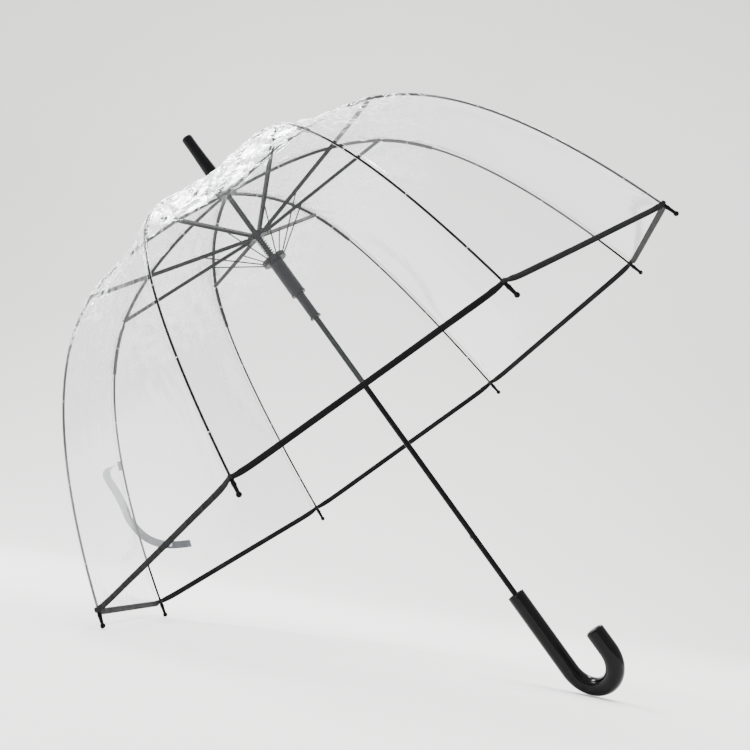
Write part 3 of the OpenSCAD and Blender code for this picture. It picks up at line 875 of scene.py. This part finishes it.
def strap_point(share):
    """The strap loops out from the film, falls back against it and drifts to one side."""
    t = STRAP_TOP + (STRAP_LOW - STRAP_TOP) * share
    slope = ELBOW_SLOPE + (HEM_SLOPE - ELBOW_SLOPE) * t
    lift = STRAP_LIFT + 3 * MM * min(8 * share, 1) + STRAP_LOOP * 10 * share * math.exp(1 - 10 * share)
    side = 6 * MM * math.sin(math.pi * share) - STRAP_DRIFT * (share**3 + share**10) / 2
    p = bezier(ELBOW, LOWER_CONTROL, HEM, t) + Vector((math.sin(slope), math.cos(slope))) * lift
    return Vector((p.x - abs(side) * math.tan(HALF), side, p.y))


def strap_frames():
    path = [strap_point(k / STRAP_STEPS) for k in range(STRAP_STEPS + 1)]
    frames = []
    for k, p in enumerate(path):
        ahead = (path[min(k + 1, STRAP_STEPS)] - path[max(k - 1, 0)]).normalized()
        side = (Vector((0, 1, 0)) - ahead * ahead.y).normalized()
        turn = STRAP_TURN * smooth(0, 0.12, k / STRAP_STEPS) + 0.12 * math.sin(k * 0.06)
        twist = Matrix.Rotation(turn, 4, "Z")
        frames.append(turned(rib_angle(STRAP_RIB)) @ axes_matrix(ahead.cross(side), side, ahead, p) @ twist)
    return frames


def make_strap():
    frames = strap_frames()
    half = STRAP_WIDTH / 2
    corners = [(-0.2 * MM, -half), (0.2 * MM, -half), (0.2 * MM, half), (-0.2 * MM, half)]
    section = rounded(corners, 0.15 * MM, 2)
    points = []
    for k, place in enumerate(frames):
        cup = 0.6 * MM * math.sin(k * 0.21)
        for x, y in section:
            points.append(place @ Vector((x + cup * (y / half) ** 2, y, 0)))
    strap = add_mesh("strap_ribbon", points, ring_faces(len(frames), len(section)), STRAP)
    # Painted shade: the strap grows darker towards its tail through this extra cover.
    tail_shade = [smooth(0.25, 0.8, k / STRAP_STEPS) for k in range(STRAP_STEPS + 1) for _ in section]
    strap.data.attributes.new("cover_and_shade", "FLOAT", "POINT").data.foreach_set("value", tail_shade)
    patch_half = 6 * MM
    corners = rounded([(-patch_half, -patch_half), (patch_half, -patch_half), (patch_half, patch_half),
                       (-patch_half, patch_half)], 0.8 * MM, 4)
    base = rib_frame(STRAP_RIB, strap_patch_length(), 0.5 * MM)
    rings = [[base @ Vector((x, a, b)) for a, b in corners] for x in (0, 0.5 * MM)]
    patch = add_mesh("strap_patch", rings[0] + rings[1], ring_faces(2, len(corners)), STRAP)
    patch.data.attributes.new("cover_and_shade", "FLOAT", "POINT").data.foreach_set("value", [0.35] * 2 * len(corners))
    snap = make_snap(frames[-12])
    for piece, slot in ((strap, "strap_film"), (patch, "strap_film"), (snap, "spring_steel")):
        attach(piece, f"lower_{STRAP_RIB}")
    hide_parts("closing_strap")
    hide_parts("strap_snap")


def strap_patch_length():
    """Length along the film at which the strap is stitched on."""
    height = bezier(ELBOW, LOWER_CONTROL, HEM, STRAP_TOP).y
    s = ELBOW_LENGTH
    while FILM.at(s)[0].y > height:
        s += 0.5 * MM
    return s


def make_snap(place):
    """Press stud: a domed cap outside and a ringed stud inside."""
    cap = [(0.02, 1.5), (1.6, 1.45), (3.0, 1.2), (3.9, 0.85), (4.2, 0.45), (4.1, 0.25), (0.02, 0.25)]
    stud = [(0.02, -2.0), (1.3, -2.0), (1.5, -1.7), (1.3, -1.2), (2.4, -1.1), (2.6, -0.7), (2.4, -0.25),
            (0.02, -0.25)]
    points, faces = [], []
    for profile in (cap, stud):
        start = len(points)
        for k in range(40):
            a = math.tau * k / 40
            for r, x in profile:
                points.append(place @ Vector((x * MM, r * MM * math.cos(a), r * MM * math.sin(a))))
        faces += [tuple(v + start for v in f) for f in ring_faces(40, len(profile), loop=True)]
    return add_mesh("snap_stud", points, faces, BRIGHT)


# --- CAD nodes that stay ------------------------------------------------------------------------------


def dress_cad_nodes():
    finishes = {"shaft_tube": (STEEL, 0.1), "bottom_catch": (STEEL, 0.15), "crown": (HUBS, 0.25),
                "upper_hub": (HUBS, 0.25), "runner": (HUBS, 0.25)}
    for i in range(COUNT):
        for kind in ("rib_upper", "rib_lower", "stretcher", "link"):
            finishes[f"{kind}_{i}"] = (ENAMEL, 0.12)
    for name, (material, edge) in finishes.items():
        node = frame["nodes"][name]
        node.data.materials.clear()
        node.data.materials.append(material)
        soften(node, edge * MM)


# --- Stage ------------------------------------------------------------------------------------------

TIP_BALL = 3.0 * MM
TIP_REACH = 17.0 * MM


def resting_plane():
    """Up direction of the floor and a point on it: two rib tips and the crook's bend touch it."""
    down = HEM + Vector((math.cos(HEM_SLOPE), -math.sin(HEM_SLOPE))) * TIP_REACH
    tip = Vector((-down.x * math.sin(HALF), -down.x * math.cos(HALF), down.y))
    low, high = 0.5, 1.0
    for _ in range(40):
        rise = (low + high) / 2
        flat = math.sqrt((1 - rise * rise) / 2)
        up = Vector((flat, flat, rise))
        bend = CROOK_RADIUS * (up.x - math.hypot(up.x, up.z)) + BEND_HEIGHT * up.z - GRIP_RADIUS * 1.05
        if up.dot(tip) - TIP_BALL > bend:
            high = rise
        else:
            low = rise
    return up, tip - up * TIP_BALL


REST_UP, REST_POINT = resting_plane()
REST_AHEAD = (CAMERA_FORWARD - REST_UP * CAMERA_FORWARD.dot(REST_UP)).normalized()
REST_SIDE = REST_AHEAD.cross(REST_UP)
LIGHTS_TARGET = Vector((0, 0, 0.42))


def plain_stage_material():
    """Pale matt floor, seen only from its upper side."""
    s = Shader("stage")
    shade = s.noise(1.5, 3)
    s.set(Base_Color=s.mix(shade, (0.80, 0.80, 0.785), (0.84, 0.84, 0.83)), Roughness=0.9)
    back = s.node("NewGeometry").outputs["Backfacing"]
    clear = s.node("BsdfTransparent")
    return s.layered(back, s.surface, clear)


def make_stage():
    centre = REST_POINT - REST_UP * 0.5 * MM
    start, bend, radius, wall = -2.6, 2.0, 1.6, 5.0
    profile = [(start, 0.0), (0.0, 0.0)]
    profile += [(bend + radius * math.sin(a), radius * (1 - math.cos(a)))
                for a in (math.pi / 2 * k / 24 for k in range(25))]
    profile.append((bend + radius, wall))
    width = 6.0
    points = []
    for d, h in profile:
        for w in (-width, width):
            points.append(centre + REST_AHEAD * d + REST_UP * h + REST_SIDE * w)
    faces = [(2 * k, 2 * k + 1, 2 * k + 3, 2 * k + 2) for k in range(len(profile) - 1)]
    floor = add_mesh("floor", points, faces, plain_stage_material())
    normal = floor.data.polygons[0].normal
    if normal.dot(REST_UP) < 0:
        floor.data.flip_normals()


def area_light(name, offset, size, power, colour):
    """Soft box at an offset from the dome (right, up, ahead), aimed at the dome."""
    place = LIGHTS_TARGET + REST_SIDE * offset[0] + REST_UP * offset[1] + REST_AHEAD * offset[2]
    data = bpy.data.lights.new(name, "AREA")
    data.shape = "RECTANGLE"
    data.size, data.size_y = size
    data.energy = power
    data.color = colour
    light = bpy.data.objects.new(name, data)
    bpy.context.scene.collection.objects.link(light)
    aim = (place - LIGHTS_TARGET).to_track_quat("Z", "Y").to_matrix().to_4x4()
    light.matrix_world = Matrix.Translation(place) @ aim
    return light


def make_lights():
    """Three small windows show in the film's creases; the two large soft boxes only light."""
    area_light("window", (-1.35, 1.75, 1.2), (0.5, 0.9), 80, (0.98, 0.99, 1.0))
    area_light("side_window", (-2.0, 1.1, 0.5), (0.35, 0.9), 42, (0.98, 0.99, 1.0))
    area_light("back_window", (0.5, 2.0, 1.9), (0.4, 0.7), 40, (1.0, 1.0, 0.99))
    overhead = area_light("overhead", (0.2, 2.6, -0.2), (3.4, 3.0), 190, (1.0, 0.995, 0.98))
    fill = area_light("fill", (2.2, 0.9, -1.6), (1.4, 1.8), 34, (1.0, 0.99, 0.97))
    for soft_box in (overhead, fill):
        soft_box.visible_glossy = False
    world = bpy.data.worlds.new("studio")
    bpy.context.scene.world = world
    world.use_nodes = True
    world.node_tree.nodes["Background"].inputs["Color"].default_value = (0.95, 0.955, 0.955, 1)
    world.node_tree.nodes["Background"].inputs["Strength"].default_value = 1.35


# --- Assembly -----------------------------------------------------------------------------------------

for gore_index in range(COUNT):
    make_gore(gore_index)
    make_tape(gore_index)
    make_rib_dressing(gore_index)
make_handle()
make_ferrule()
make_collar()
make_spring()
make_strap()
dress_cad_nodes()
make_stage()
make_lights()
